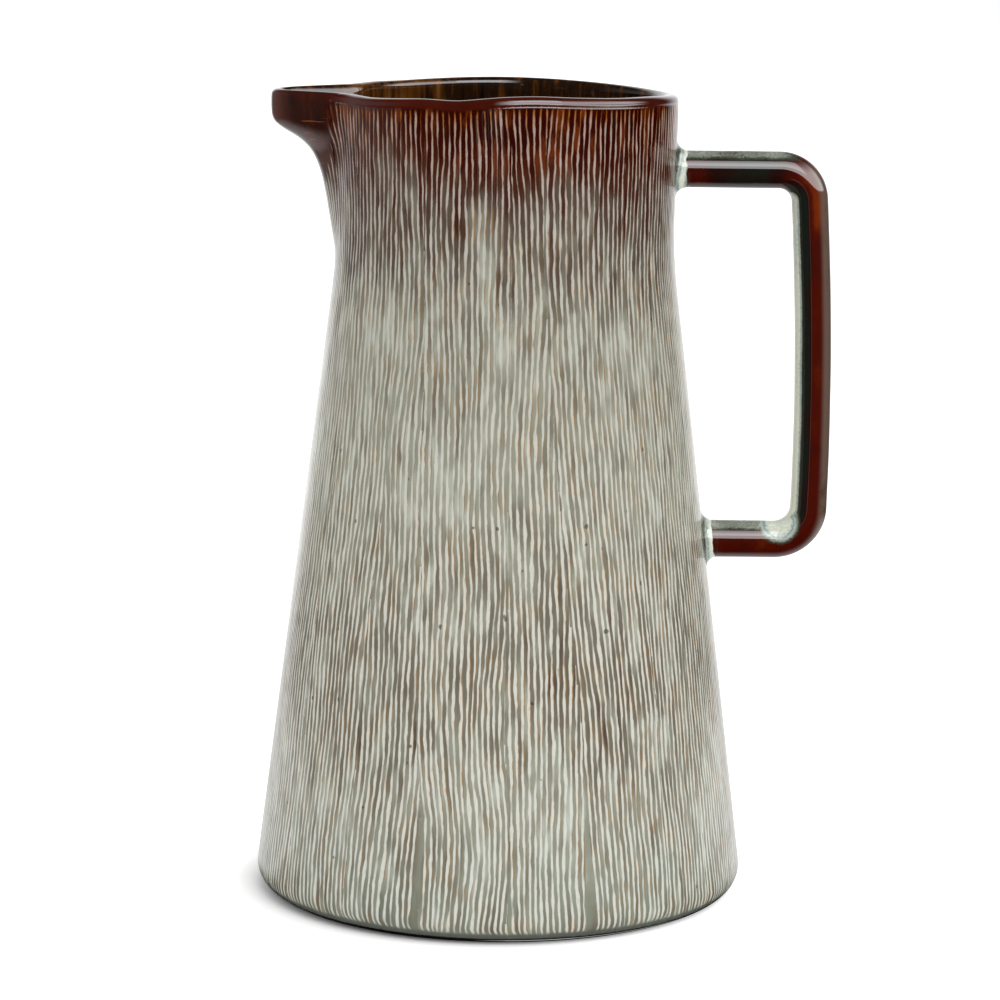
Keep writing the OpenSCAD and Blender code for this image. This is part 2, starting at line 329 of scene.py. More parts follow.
def jugGlaze(name):
    # thin glaze is oxblood and amber, thick glaze turns to celadon and milk; combed lines catch the most
    material = bpy.data.materials.new(name)
    look = Look(material)
    marks = ("pooling", "warmth", "belowRim", "inside", "beak")
    pooled, warmth, belowRim, inside, beak = (look.read(mark) for mark in marks)
    phase, combed, _ = look.split(look.node("ShaderNodeUVMap", {"uv_map": "combing"}))
    height = look.split(look.place)[2]
    fine = look.cloud((0.7, 0.7, 2.2), 2, 0.6)
    kinks = look.cloud((2.2, 2.2, 5.5), 1, 0.5, 14.0)
    streak = look.cloud((2.6, 2.6, 24), 3, 0.6, 4.0)
    mottle = look.cloud((10, 10, 19), 3, 0.55, 9.0)
    phase = phase + 0.2 * (fine - 0.5) + 0.42 * (kinks - 0.5)
    lineTone = look.along(phase.part("FLOOR"), height, 8, 0.37)
    ridgeTone = look.along((phase + 0.5).part("FLOOR"), height, 15, 40.7)
    side = phase.part("FRACT") - 0.5
    fromMiddle = 2 * side.part("ABSOLUTE")
    body = look.smooth(0.2, 0.7, pooled)
    milky = look.smooth(0.54, 1.0, mottle + 0.8 * (ridgeTone - 0.4)) * look.smooth(0.2, 0.5, pooled)
    breadth = 0.25 + 0.13 * body + 0.75 * (lineTone - 0.5) + 0.1 * milky
    line = combed * (1 - look.smooth(breadth - 0.14, breadth + 0.16, fromMiddle))
    thick = pooled + 0.62 * (ridgeTone - 0.5) * combed + 0.3 * (streak - 0.5)
    thick = thick + 0.22 * (mottle - 0.5) + 0.2 * milky
    ground = look.steps(thick, jugTones["ground"])
    upHeight = height / mm
    celadon = 1 - look.smooth(14, 34, upHeight)
    celadon = celadon * look.smooth(0.35, 0.65, streak + 0.4 * (mottle - 0.5))
    ground = look.mix(0.6 * celadon * (1 - milky), ground, jugTones["celadon"])
    ember = look.smooth(0.52, 0.7, ridgeTone + 0.3 * (fine - 0.5)) * (1 - look.smooth(0.05, 0.32, pooled))
    ground = look.mix(0.62 * ember * (1 - look.smooth(12, 32, belowRim)), ground, jugTones["ember"])
    pale = look.steps(belowRim + 26 * (lineTone - 0.5) + 24 * milky, jugTones["lines"])
    tip = 1 - look.smooth(2.8, 7.5, belowRim + 12 * (lineTone - 0.5))
    pale = look.mix(tip, pale, look.mix(fine, *jugTones["lineTips"]))
    faint = 0.45 * (1 - look.smooth(0.28, 0.48, lineTone)) + 0.25 * look.smooth(0.5, 0.8, fine)
    colour = look.mix(line * (0.98 - faint), ground, pale)
    shadeSide = look.smooth(breadth / 2 - 0.08, breadth / 2 + 0.02, side)
    fringe = shadeSide - look.smooth(breadth / 2 + 0.08, breadth / 2 + 0.2, side)
    ochre = look.smooth(0.45, 0.65, look.cloud((5, 5, 11), 1, 0.5, 31.0)) * look.smooth(0.3, 0.6, pooled)
    colour = look.mix(0.8 * fringe * ochre * combed, colour, jugTones["ochre"])
    rimBand = 1 - look.smooth(2.0, 3.0, belowRim + 1.6 * (mottle - 0.5))
    rimBand = rimBand * (1 - look.smooth(0.1, 0.4, pooled))
    colour = look.mix(rimBand, colour, look.mix(mottle, *jugTones["rim"]))
    beakTone = look.steps(mottle + 0.5 * (streak - 0.5), jugTones["beak"])
    scratch = look.smooth(0.66, 0.74, look.cloud((7, 7, 0.55), 1, 0.4, 6.0)) * look.smooth(6, 8, belowRim)
    beakTone = look.mix(0.55 * scratch, beakTone, jugTones["scratch"])
    colour = look.mix(0.85 * beak * (1 - combed), colour, beakTone)
    colour = look.mix(warmth * look.smooth(0.2, 0.7, mottle + 0.3 * fine), colour, jugTones["warm"])
    pit = look.smooth(0.84, 0.88, look.cloud((2.1, 2.1, 2.5), 0, 0.5, 21.0)) * look.smooth(0.3, 0.5, pooled)
    colour = look.mix(0.7 * pit, colour, jugTones["pit"])
    lowBand = 1 - look.smooth(2.8, 4.0, upHeight + 0.8 * (mottle - 0.5))
    colour = look.mix(0.8 * lowBand * (1 - inside), colour, jugTones["lowBand"])
    # the lowest two millimetres of the outer wall: raw clay, and painted contact shade that blackens the foot
    # line
    rawEdgeAndContactShade = 1 - look.smooth(1.7, 2.2, upHeight + 0.5 * (fine - 0.5))
    colour = look.mix(rawEdgeAndContactShade * (1 - inside), colour, jugTones["rawClayAndContactShade"])
    lining = look.steps(streak + 0.4 * (mottle - 0.5) + 0.2 * warmth, jugTones["lining"])
    colour = look.mix(inside, colour, lining)
    look.finish({
        "Base Color": colour,
        "Roughness": 0.3 + 0.2 * fine,
        **glassyCoat,
        "Normal": look.bump(0.1, 0.15 * fine - 0.8 * line - pit),
    })
    return material


rodTones = {
    # how warm the thin glaze is, and its colour
    "thin": [
        (0.0, (22, 27, 22)), (0.3, (32, 12, 9)), (0.55, (66, 12, 3)), (0.85, (112, 42, 8)), (1.1, (160, 84, 24)),
    ],
    # how thick the glaze pooled over it, and its colour; the palest colours also give the painted reflection on
    # the upright's inner side
    "thinBelow": 0.22,
    "pooled": [
        (0.4, (60, 62, 53)), (0.6, (130, 135, 123)), (0.76, (178, 182, 174)),
        (0.9, (124, 152, 150)), (1.06, (200, 206, 192)), (1.25, (226, 228, 214)),
    ],
    # painted reflection: the grey-brown on the upright's outer side
    "paintedReflection": (100, 84, 74),
}


def rodGlaze(name):
    # thin glaze runs from green-black through oxblood to orange; pooled glaze over it is grey-green to milky; a
    # painted grey-brown reflection lies over the upright's outer side
    material = bpy.data.materials.new(name)
    look = Look(material)
    pooled, warmth, paintedReflection = (look.read(name) for name in ("pooling", "warmth", "beak"))
    mottle = look.cloud((6, 6, 11), 3, 0.55)
    speckle = look.cloud((0.75, 0.75, 0.75), 3, 0.7, 3.0)
    thin = look.steps(warmth + 0.5 * (mottle - 0.5) + 0.14 * (speckle - 0.5), rodTones["thin"])
    thick = pooled + 0.5 * (speckle - 0.5) * look.smooth(0.1, 0.5, pooled) + 0.3 * (mottle - 0.5)
    colour = look.steps(thick, [(rodTones["thinBelow"], thin), *rodTones["pooled"]])
    # painted reflection: grey-brown over the upright's outer side
    colour = look.mix(paintedReflection * look.smooth(0.2, 0.6, mottle + 0.2 * speckle), colour, rodTones["paintedReflection"])
    look.finish({
        "Base Color": colour,
        "Roughness": 0.2 + 0.12 * speckle,
        **glassyCoat,
        "Normal": look.bump(0.05, mottle + 0.3 * speckle),
    })
    return material


def bareClay(name):
    material = bpy.data.materials.new(name)
    look = Look(material)
    speck, mottle = look.cloud((0.5, 0.5, 0.5), 3, 0.7), look.cloud((6, 6, 6), 3)
    colour = look.steps(mottle + 0.5 * (speck - 0.5), [
        (0.3, (20, 14, 12)), (0.6, (34, 23, 18)), (0.85, (60, 44, 34)),
    ])
    sockets = {"Base Color": colour, "Roughness": 0.75 + 0.15 * speck, "Normal": look.bump(0.12, speck)}
    look.finish(sockets)
    return material


finishes = {
    "wall": jugGlaze("combedGlaze"),
    "beak": jugGlaze("spoutGlaze"),
    "rod": rodGlaze("handleGlaze"),
    "slip": rodGlaze("slipGlaze"),
    "clay": bareClay("bareClay"),
}
print("materials made")


def makePiece(bm, name, materials, node):
    # a finished bmesh becomes a piece that rides on the jug's only body and stands for its CAD node
    bmesh.ops.remove_doubles(bm, verts=bm.verts, dist=weldWithin * mm / 10)
    bmesh.ops.recalc_face_normals(bm, faces=bm.faces)
    for face in bm.faces:
        face.smooth = True
    mesh = bpy.data.meshes.new(name)
    bm.to_mesh(mesh)
    bm.free()
    for material in materials:
        mesh.materials.append(material)
    piece = bpy.data.objects.new(name, mesh)
    bpy.context.scene.collection.objects.link(piece)
    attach(piece, "root")
    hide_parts(node)
    print(name, len(mesh.vertices), "points", sum(len(p.vertices) - 2 for p in mesh.polygons), "triangles")


# The body: a slab is combed flat, rolled up into the wall and joined to its lining and its foot

combing = {
    "columns": 1280,
    "strokes": 18,
    "teeth": 15,
    "pitch": 1.6,
    "depth": 0.05,
    "top": 217.3,
    "bottom": 3.4,
    "wander": 2.2,
    "wanderLength": 48,
    "lean": 0.03,
    "leanAbout": 110,
    # the strokes start with a hook, between these heights
    "hook": 1.7,
    "hookHeights": (5, 1.8),
    # how far lines sway, in pitches, with the width and length of the sway in millimetres
    "sway": [(0.5, 9, 34), (0.26, 3.5, 13)],
    "seed": 11,
    # smooth places: degrees round from the handle, height, half width and half height
    "wipedPatches": [(0, 197.6, 8.5, 7.8), (0, 97.2, 12.5, 6.2)],
    # the spout stays smooth so many degrees to each side of its middle, by height
    "spoutClear": [(182, -4), (188, 0), (193, 4), (198, 8.5), (203.5, 13), (211, 16), (220, 17)],
}

lots = random.Random(combing["seed"])
strokes = []
for index in range(combing["strokes"]):
    strokes.append({
        "index": index,
        "angle": (index + lots.uniform(-0.08, 0.08)) / combing["strokes"] * fullTurn,
        "lean": lots.uniform(-1, 1) * combing["lean"],
        "pitch": combing["pitch"] * lots.uniform(0.97, 1.04),
        "hook": lots.uniform(-0.7, 0.9),
        "order": lots.random(),
    })
strokes.sort(key=lambda stroke: -stroke["order"])


def strokeDistance(stroke, angle, z):  # millimetres from the middle of a comb's stroke
    wander = noise.noise(Vector((z / combing["wanderLength"], stroke["index"] * 3.7, 0)))
    drift = stroke["lean"] * (z - combing["leanAbout"]) + combing["wander"] * wander
    curl = stroke["hook"] + combing["hook"] * noise.noise(Vector((angle * 19, 0, 5.3)))
    hook = smoothStep(*combing["hookHeights"], z) * curl
    return wallRadius(z) * wrapTurn(angle - stroke["angle"]) - drift - hook


def topStroke(angle, z):
    half = combing["teeth"] / 2
    for stroke in strokes:
        if abs(strokeDistance(stroke, angle, z)) < half * stroke["pitch"]:
            return stroke
    return None


def linePhase(stroke, angle, z):  # whole numbers lie midway between two lines
    r = wallRadius(z)
    place = (r * math.cos(angle), r * math.sin(angle), z)
    sway = sum(size * grain(place, wide, wide, tall) for size, wide, tall in combing["sway"])
    count = strokeDistance(stroke, angle, z) / stroke["pitch"] + combing["teeth"] / 2
    firstLine = stroke["index"] * 40 + 4  # no two strokes share a line's number
    return firstLine + count + sway


def combDepth(angle, z):  # 1 where the comb bit, 0 where the wall is smooth
    r = wallRadius(z)
    place = (r * math.cos(angle), r * math.sin(angle), 0)
    top = combing["top"] + 0.7 * grain(place, 1.4, 1.4, 1)
    low = combing["bottom"] + 0.4 * grain(place, 2.1, 2.1, 1)
    depth = smoothStep(top + 0.2, top - 1.2, z) * smoothStep(low - 0.4, low + 0.9, z)
    turn = abs(math.degrees(wrapTurn(angle - math.pi)))
    clear = readTable(combing["spoutClear"], z)
    depth *= smoothStep(clear - 1, clear + 1.2, turn)
    for at, high, halfWidth, halfHeight in combing["wipedPatches"]:
        across = r * wrapTurn(angle - math.radians(at)) / halfWidth
        away = math.hypot(across, (z - high) / halfHeight) + 0.1 * grain((*place[:2], z), 3, 3, 3)
        depth *= smoothStep(0.86, 1.08, away)
    return depth


wallRows = [
    *(jugForm["footCurve"] * (1 - math.sin(math.radians(a))) for a in (56, 47, 39, 31, 23, 15, 8, 0)),
    7.6, 9.2, 11.5, 14.5, *(18 + 5 * k for k in range(29)), *(162.5 + 4.2 * k for k in range(6)),
    *(187 + 2.25 * k for k in range(11)), 211.5, 213, 214, 214.9, 215.7, 216.4, 217.1, lipHeight,
]


def outerRadius(z):
    if z < footTop:
        return footCentre + math.sqrt(jugForm["footCurve"] ** 2 - (jugForm["footCurve"] - z) ** 2)
    return wallRadius(z)


notchForm = {"from": 184, "full": 12, "none": 16, "left": 0.1}


def notched(height, angle):  # behind the spout the wall is cut away, down to here
    turn = abs(math.degrees(wrapTurn(angle - math.pi)))
    cut = smoothStep(notchForm["none"], notchForm["full"], turn) * (1 - notchForm["left"])
    return height if height < notchForm["from"] else height - (height - notchForm["from"]) * cut


def bite(stroke, angle, z):  # how deep the comb went here, in millimetres
    fromMiddle = abs(linePhase(stroke, angle, z) % 1 - 0.5) * 2
    return combing["depth"] * combDepth(angle, z) * smoothStep(0.85, 0.1, fromMiddle)


def cutDown(radius, z, angle):  # the place on the jug's form that a point goes to behind the spout
    low = notched(z, angle)
    return radius + wallRadius(min(low, lipHeight)) - wallRadius(min(z, lipHeight)), low


def combedWall():
    bm = bmesh.new()
    columns, rows = combing["columns"], len(wallRows) - 1
    bmesh.ops.create_grid(bm, x_segments=columns, y_segments=rows, size=0.5)
    uvLayer = bm.loops.layers.uv.new("combing")
    spots = {}
    for vert in bm.verts:
        column, row = round((vert.co.x + 0.5) * columns), round((vert.co.y + 0.5) * rows)
        angle, z = column / columns * fullTurn, wallRows[row]
        spots[vert] = (angle, z, combDepth(angle, z))
    for face in bm.faces:
        middle = face.calc_center_median()
        z = sum(spots[v][1] for v in face.verts) / 4
        stroke = topStroke((middle.x + 0.5) * fullTurn, z)
        for loop in face.loops:
            angle, height, depth = spots[loop.vert]
            phase = linePhase(stroke, angle, height) if stroke else 0
            loop[uvLayer].uv = (phase, depth if stroke else 0)
    for vert, (angle, z, depth) in spots.items():
        stroke = topStroke(angle, z) if depth > 0 else None
        radius, low = cutDown(outerRadius(z) - (bite(stroke, angle, z) if stroke else 0), z, angle)
        vert.co = placeOnJug(radius, low, angle, 1)
    bmesh.ops.remove_doubles(bm, verts=bm.verts, dist=weldWithin)
    return bm


liningForm = {
    "columns": 160,
    "rows": 34,
    "cornerSteps": 8,
    "rings": 0.1,
    "ringPitch": 9,
    "floorRise": 0.5,
    "soleBelow": 5,
}


def liningProfile():  # over the lip, down the inside and across the floor to the axis
    inset = jugForm["wall"] / math.cos(taper)
    points = [lipPoint(k) for k in range(lipSteps + 1)]
    floorTop, curve = jugForm["footRecess"] + jugForm["floor"], jugForm["cavityCurve"]
    low, rows, cornerSteps = floorTop + curve, liningForm["rows"], liningForm["cornerSteps"]
    for k in range(1, rows):
        z = lipHeight + (low - lipHeight) * k / rows
        ring = liningForm["rings"] * math.sin(fullTurn * z / liningForm["ringPitch"]) * smoothStep(212, 200, z)
        points.append((wallRadius(z) - inset - ring, z))
    cornerX = wallRadius(low) - inset - curve
    for k in range(cornerSteps + 1):
        a = math.pi / 2 * k / cornerSteps
        points.append((cornerX + curve * math.cos(a), low - curve * math.sin(a)))
    for share in (0.8, 0.6, 0.4, 0.2, 0):
        points.append((cornerX * share, floorTop + liningForm["floorRise"] * (1 - share)))
    return points


def footProfile():  # from the wall's lowest row under the foot ring to the axis
    curve, start = jugForm["footCurve"], math.acos(1 - wallRows[0] / jugForm["footCurve"])
    recess = footCentre - jugForm["footRing"]
    points = [
        (footCentre + curve * math.sin(start * k / 4), curve * (1 - math.cos(start * k / 4)))
        for k in (4, 3, 2, 1, 0)
    ]
    points += [(recess + out, up) for out, up in jugForm["recessEdge"]]
    points += [(recess * share, jugForm["footRecess"]) for share in (0.9, 0.6, 0.3, 0)]
    return points


def turned(profile, columns):
    bm = bmesh.new()
    verts = [bm.verts.new((r, 0, z)) for r, z in profile]
    edges = [bm.edges.new(pair) for pair in zip(verts, verts[1:])]
    bmesh.ops.spin(
        bm, geom=verts + edges, cent=(0, 0, 0), axis=(0, 0, 1), angle=fullTurn, steps=columns, use_merge=True
    )
    bmesh.ops.remove_doubles(bm, verts=bm.verts, dist=weldWithin)
    return bm


poolingForm = {
    # how thick the glaze lies on the wall by height, from 0, thin and brown, to 1, thick and pale
    "byHeight": [
        (0, 0.68), (4, 0.7), (12, 0.75), (31, 0.79), (53, 0.69), (74, 0.69), (96, 0.73), (117, 0.81),
        (138, 0.79), (159, 0.74), (175, 0.5), (186, 0.43), (196, 0.31), (204, 0.14), (212, 0.0), (220, -0.04),
    ],
    # where it ran thicker or thinner: degrees, height, half width, half height, amount
    "runs": [
        (-80, 205, 26, 16, -0.12), (-97, 182, 5, 15, 0.26), (-92, 156, 5, 12, 0.14),
        (-132, 203, 13, 14, 0.13), (-140, 70, 16, 16, -0.15), (-75, 60, 12, 20, -0.1),
        (-112, 118, 9, 14, 0.18), (-60, 60, 10, 26, -0.1),
    ],
    "cloudy": 0.1,
    # how much thinner it lies on the beak, and how warm the beak's nose is
    "beak": 0.3,
    "nose": 0.8,
    # the warm part of the lining: degrees, and half its width
    "liningWarmth": (142, 34),
}


def glazeMarks(place):
    # five marks: pooling, warmth, millimetres below the rim, 1 on the inside, and 1 on the beak
    angle = math.atan2(place.y, place.x)
    turn = math.degrees(wrapTurn(angle - math.pi))
    belowRim = jugForm["height"] - readTable(jugForm["rimDip"], math.degrees(angle)) - place.z
    out = swellAt(turn, place.z, spoutForm["reach"], spoutForm["spread"], spoutForm["height"])
    thick = readTable(poolingForm["byHeight"], place.z)
    for at, high, halfWidth, halfHeight, amount in poolingForm["runs"]:
        across = wallRadius(high) * wrapTurn(angle - math.radians(at)) / halfWidth
        thick += amount * smoothStep(1.2, 0.1, math.hypot(across, (place.z - high) / halfHeight))
    thick += poolingForm["cloudy"] * grain(place, 22, 22, 30)
    thick -= poolingForm["beak"] * smoothStep(1.5, 7, out)
    warmth = poolingForm["nose"] * smoothStep(11, 16.5, out) * smoothStep(206, 212, place.z)
    middle = wallRadius(min(place.z, lipHeight)) - jugForm["wall"] / 2
    inside = smoothStep(0.35, -0.35, (place.xy.length - out - middle) / lipRadius) if place.z > 7 else 0
    at, spread = poolingForm["liningWarmth"]
    fromWarm = abs(math.degrees(wrapTurn(angle - math.radians(at)))) / spread
    warmth += inside * (smoothStep(1.2, 0.2, fromWarm) - warmth)
    return thick, warmth, belowRim, inside, smoothStep(1.5, 5, out) * (1 - inside)


def markGlaze(bm, marks):  # writes the marks of every point to the mesh, and brings it to metres
    names = ("pooling", "warmth", "belowRim", "inside", "beak")
    layers = [bm.verts.layers.float.new(name) for name in names]
    bm.normal_update()
    for vert in bm.verts:
        for layer, value in zip(layers, marks(vert)):
            vert[layer] = value
    for vert in bm.verts:
        vert.co *= mm


def buildBody():
    bm = combedWall()
    print("wall combed")
    wallOnly = len(bm.faces)
    mesh = bpy.data.meshes.new("part")
    for profile, outside in ((liningProfile(), 0), (footProfile(), 1)):
        part = turned(profile, liningForm["columns"])
        for vert in part.verts:
            r, z, angle = vert.co.xy.length, vert.co.z, math.atan2(vert.co.y, vert.co.x)
            out = outside
            if z > lipHeight - 1:
                out = clamp((r - lipMiddle) / lipRadius / 2 + 0.5)
            if z > halfway:
                r, z = cutDown(r, z, angle)
            vert.co = placeOnJug(r, z, angle, out)
        part.to_mesh(mesh)
        part.free()
        bm.from_mesh(mesh)
        mesh.clear_geometry()
    bpy.data.meshes.remove(mesh)
    bm.faces.ensure_lookup_table()
    for face in bm.faces[wallOnly:]:
        face.material_index = 0 if face.calc_center_median().z > liningForm["soleBelow"] else 1
    ends = [edge for edge in bm.edges if edge.is_boundary]
    for high in (True, False):
        loops = [edge for edge in ends if (edge.verts[0].co.z > halfway) == high]
        for face in bmesh.ops.bridge_loops(bm, edges=loops)["faces"]:
            face.material_index = 0 if high else 1
    markGlaze(bm, lambda vert: glazeMarks(vert.co))
    makePiece(bm, "combedBody", [finishes["wall"], finishes["clay"]], "body")


buildBody()

# The spout: a clay beak over the notch, whose skins lie flush on the wall's and dive into it at its borders

spoutPiece = {
    "columns": 116,
    "outerRows": 40,
    "innerRows": 36,
    "halfWidth": 21.5,
    "proud": 0.05,
    "dive": 0.5,
    "from": 174,
}


def spoutSection():  # radius, height and share of the outer skin, up the outside and down the inside
    low, drop = spoutPiece["from"], lipHeight - spoutPiece["from"]
    outerRows, innerRows = spoutPiece["outerRows"], spoutPiece["innerRows"]
    heights = [low + drop * k / outerRows for k in range(outerRows)]
    section = [(wallRadius(z), z, 1) for z in heights]
    section += [(*lipPoint(k), (math.cos(math.pi * k / lipSteps) + 1) / 2) for k in range(lipSteps + 1)]
    for k in range(1, innerRows + 1):
        z = lipHeight - drop * k / innerRows
        section.append((wallRadius(z) - jugForm["wall"], z, 0))
    for share in (0.66, 0.33):
        section.append((wallRadius(low) - jugForm["wall"] * share, low, 1 - share))
    return section


def buildSpout():
    bm = bmesh.new()
    section = spoutSection()
    columns, rows = spoutPiece["columns"], len(section)
    bmesh.ops.create_grid(bm, x_segments=columns, y_segments=rows, size=0.5)
    uvLayer = bm.loops.layers.uv.new("combing")
    spots = {}
    for vert in bm.verts:
        across, row = 2 * vert.co.x, round((vert.co.y + 0.5) * rows) % rows
        turn = across * spoutPiece["halfWidth"]
        radius, height, out = section[row]
        angle = math.pi + math.radians(turn)
        spots[vert] = (angle, height, out)
        inset = min(0.8 * (spoutPiece["halfWidth"] - abs(turn)), height - spoutPiece["from"])
        proud = spoutPiece["proud"] * smoothStep(1.8, 5, inset)
        proud -= spoutPiece["dive"] * smoothStep(1.8, 0, inset)
        middle = wallRadius(height) - jugForm["wall"] / 2 if height < lipHeight else lipMiddle
        radius += proud * (radius - middle) / lipRadius
        stroke = topStroke(angle, height) if out == 1 else None
        radius -= bite(stroke, angle, height) if stroke else 0
        height += proud * max(height - lipHeight, 0) / lipRadius
        vert.co = placeOnJug(radius, height, angle, out)
    for face in bm.faces:
        angle, height, out = spots[face.verts[0]]
        stroke = topStroke(angle, height) if out == 1 else None
        for loop in face.loops:
            angle, height, out = spots[loop.vert]
            if stroke:
                loop[uvLayer].uv = (linePhase(stroke, angle, height), combDepth(angle, height))
            else:
                loop[uvLayer].uv = (0, 0)
    bmesh.ops.remove_doubles(bm, verts=bm.verts, dist=weldWithin)
    bmesh.ops.holes_fill(bm, edges=[e for e in bm.edges if e.is_boundary])
    markGlaze(bm, lambda vert: glazeMarks(vert.co))
    makePiece(bm, "beakSpout", [finishes["beak"]], "spout")


buildSpout()

# The handle: one rod, pushed out from the neck, bent, bowed, bent again and pushed back to the wall

handleForm = {
    "sides": 48,
    "rod": 5,
    "topBar": 197.6,
    "start": 43.5,
    "end": 53,
    "topSteps": 30,
    "bottomSteps": 22,
    "lift": 0.55,
    "bottomSwell": 0.12,
    "uneven": 0.05,
    "farthest": 89,
    "topBend": {"centre": (73.62, 189.2), "sweep": 86, "steps": 18},
    "bow": {"centre": (-757.95, 131.04), "sweep": 5.683, "steps": 40},
    "bottomBend": {"centre": (74.29, 106.6), "sweep": 88.317, "steps": 18},
}


farBelowRim = 50  # the mark of all that has no rim of its own

# what lies on the rod: pooled glaze, painted reflection and painted shade on the upright's sides, and how warm
# the thin glaze is; places are x and z in millimetres
rodGlazing = {
    "topBarTop": 0.56,
    "bottomBarTop": 0.62,
    "corner": 1.1,
    "cornerPlace": (75.5, 102.3),
    "joint": 0.24,
    # painted reflection: how pale the upright's side facing the jug is made, as if it mirrored the wall
    "inner": 1.25,
    "cloudy": 0.08,
    # painted reflection on the upright's outer side: how strong
    "paintedReflection": 0.85,
    "topWarmth": 0.5,
    "topCool": 0.36,
    "bottomWarmth": 0.56,
    "uprightWarmth": 0.55,
    # painted shade: how much darker the upright turns on its side facing the jug, and at its outer edge
    "innerSideShade": 0.5,
    "outerEdgeShade": 0.2,
    "ember": 0.17,
    "emberPlace": (82.5, 190),
}


def rodMarks(vert):
    # the five marks, as on the wall, but the last is a painted grey-brown reflection on the upright's outer side
    form, place, out, up = rodGlazing, vert.co, vert.normal.x, vert.normal.z
    upper, upright = place.z > 150, smoothStep(70, 80, place.x)
    onTop = form["topBarTop" if upper else "bottomBarTop"]
    onTop *= smoothStep(0.3, 0.8, up) * smoothStep(88, 72, place.x)
    corner = form["corner"] * smoothStep(7.4, 2.6, math.dist((place.x, place.z), form["cornerPlace"]))
    wall = wallRadius(place.z)
    joint = form["joint"] * smoothStep(wall + 4.8, wall + 3.8, place.x)
    # painted reflection on the upright's side facing the jug, taken in with the pooled glaze
    inner = form["inner"] * smoothStep(-0.52, -0.8, out) * smoothStep(66, 80, place.x)
    pooled = max(onTop, corner, joint, inner) + form["cloudy"] * grain(place, 6, 6, 9)
    # painted reflection: grey-brown where the upright faces outwards
    paintedReflection = form["paintedReflection"] * smoothStep(0.36, 0.66, out) * smoothStep(76, 84, place.x)
    cool = smoothStep(48, 64, place.x) * smoothStep(84, 68, place.x)
    barWarmth = form["topWarmth"] - form["topCool"] * cool if upper else form["bottomWarmth"]
    # painted shade by the normal: darker on the side facing the jug and at the outer edge
    warmth = form["uprightWarmth"] - form["innerSideShade"] * smoothStep(-0.08, -0.3, out)
    warmth -= form["outerEdgeShade"] * smoothStep(0.6, 0.9, out)
    ember = smoothStep(13, 2, math.dist((place.x, place.z), form["emberPlace"])) * smoothStep(-0.1, 0.2, out)
    warmth += form["ember"] * ember
    return pooled, barWarmth + (warmth - barWarmth) * upright, farBelowRim, 0, paintedReflection


def buildHandle():
    bm = bmesh.new()
    sides, rod, start = handleForm["sides"], handleForm["rod"], handleForm["start"]
    facing = Matrix.Translation((start, 0, handleForm["topBar"])) @ Matrix.Rotation(math.pi / 2, 4, "Y")
    ring = bmesh.ops.create_circle(bm, segments=sides, radius=rod, matrix=facing)
    end = ring["verts"] + bm.edges[:]

    def slide(end, distance, steps):
        step = (distance / steps, 0, 0)
        made = bmesh.ops.spin(bm, geom=end, axis=(0, 1, 0), dvec=step, angle=0, steps=steps)
        return made["geom_last"]

    def bend(end, form):
        (x, z), sweep = form["centre"], math.radians(form["sweep"])
        made = bmesh.ops.spin(bm, geom=end, cent=(x, 0, z), axis=(0, 1, 0), angle=sweep, steps=form["steps"])
        return made["geom_last"]

    end = slide(end, handleForm["topBend"]["centre"][0] - start, handleForm["topSteps"])
    for name in ("topBend", "bow", "bottomBend"):
        end = bend(end, handleForm[name])
    slide(end, handleForm["end"] - handleForm["bottomBend"]["centre"][0], handleForm["bottomSteps"])
    bmesh.ops.holes_fill(bm, edges=[e for e in bm.edges if e.is_boundary])
    bmesh.ops.recalc_face_normals(bm, faces=bm.faces)
    bm.normal_update()
    for vert in bm.verts:
        place = vert.co.copy()
        swell = handleForm["bottomSwell"] * smoothStep(112, 100, place.z)
        vert.co += vert.normal * (swell - handleForm["uneven"] * grain(place, 16, 16, 16))
        vert.co.z += handleForm["lift"] * smoothStep(160, 188, place.z)
        vert.co.x = min(vert.co.x, handleForm["farthest"])
    markGlaze(bm, rodMarks)
    makePiece(bm, "rodHandle", [finishes["rod"]], "handle")


buildHandle()

# The slip collars: wiped fillets between the rod and the wall

collarForms = {
    "upperCollar": {
        "node": "upper_slip_collar", "height": 198, "spread": 3.1, "run": 4.0, "lean": 0.12, "seed": 1,
    },
    "lowerCollar": {
        "node": "lower_slip_collar", "height": 97.2, "spread": 3.2, "run": 3.8, "lean": 0.05, "seed": 2,
    },
}
collarShape = {
    "around": 96,
    "arc": 10,
    "sunk": 0.12,
    "wavySpread": 0.18,
    "wavyRun": 0.2,
    "warmth": 0.5,
    # the fillet's ends: outwards from the rod and along it, as shares of spread and run
    "foot": [(1.15, -0.12)],
    "end": [(-0.2, 1.1), (-0.3, 0.5), (-0.3, -0.3), (0.4, -0.35)],
    # millimetres from the wall, and how thick the glaze lies there
    "pooling": [
        (0, 0.44), (0.5, 0.56), (0.9, 0.9), (1.3, 0.96), (1.8, 1.2), (2.6, 1.12), (3, 0.84), (3.4, 0.4),
        (4.4, 0.1),
    ],
}


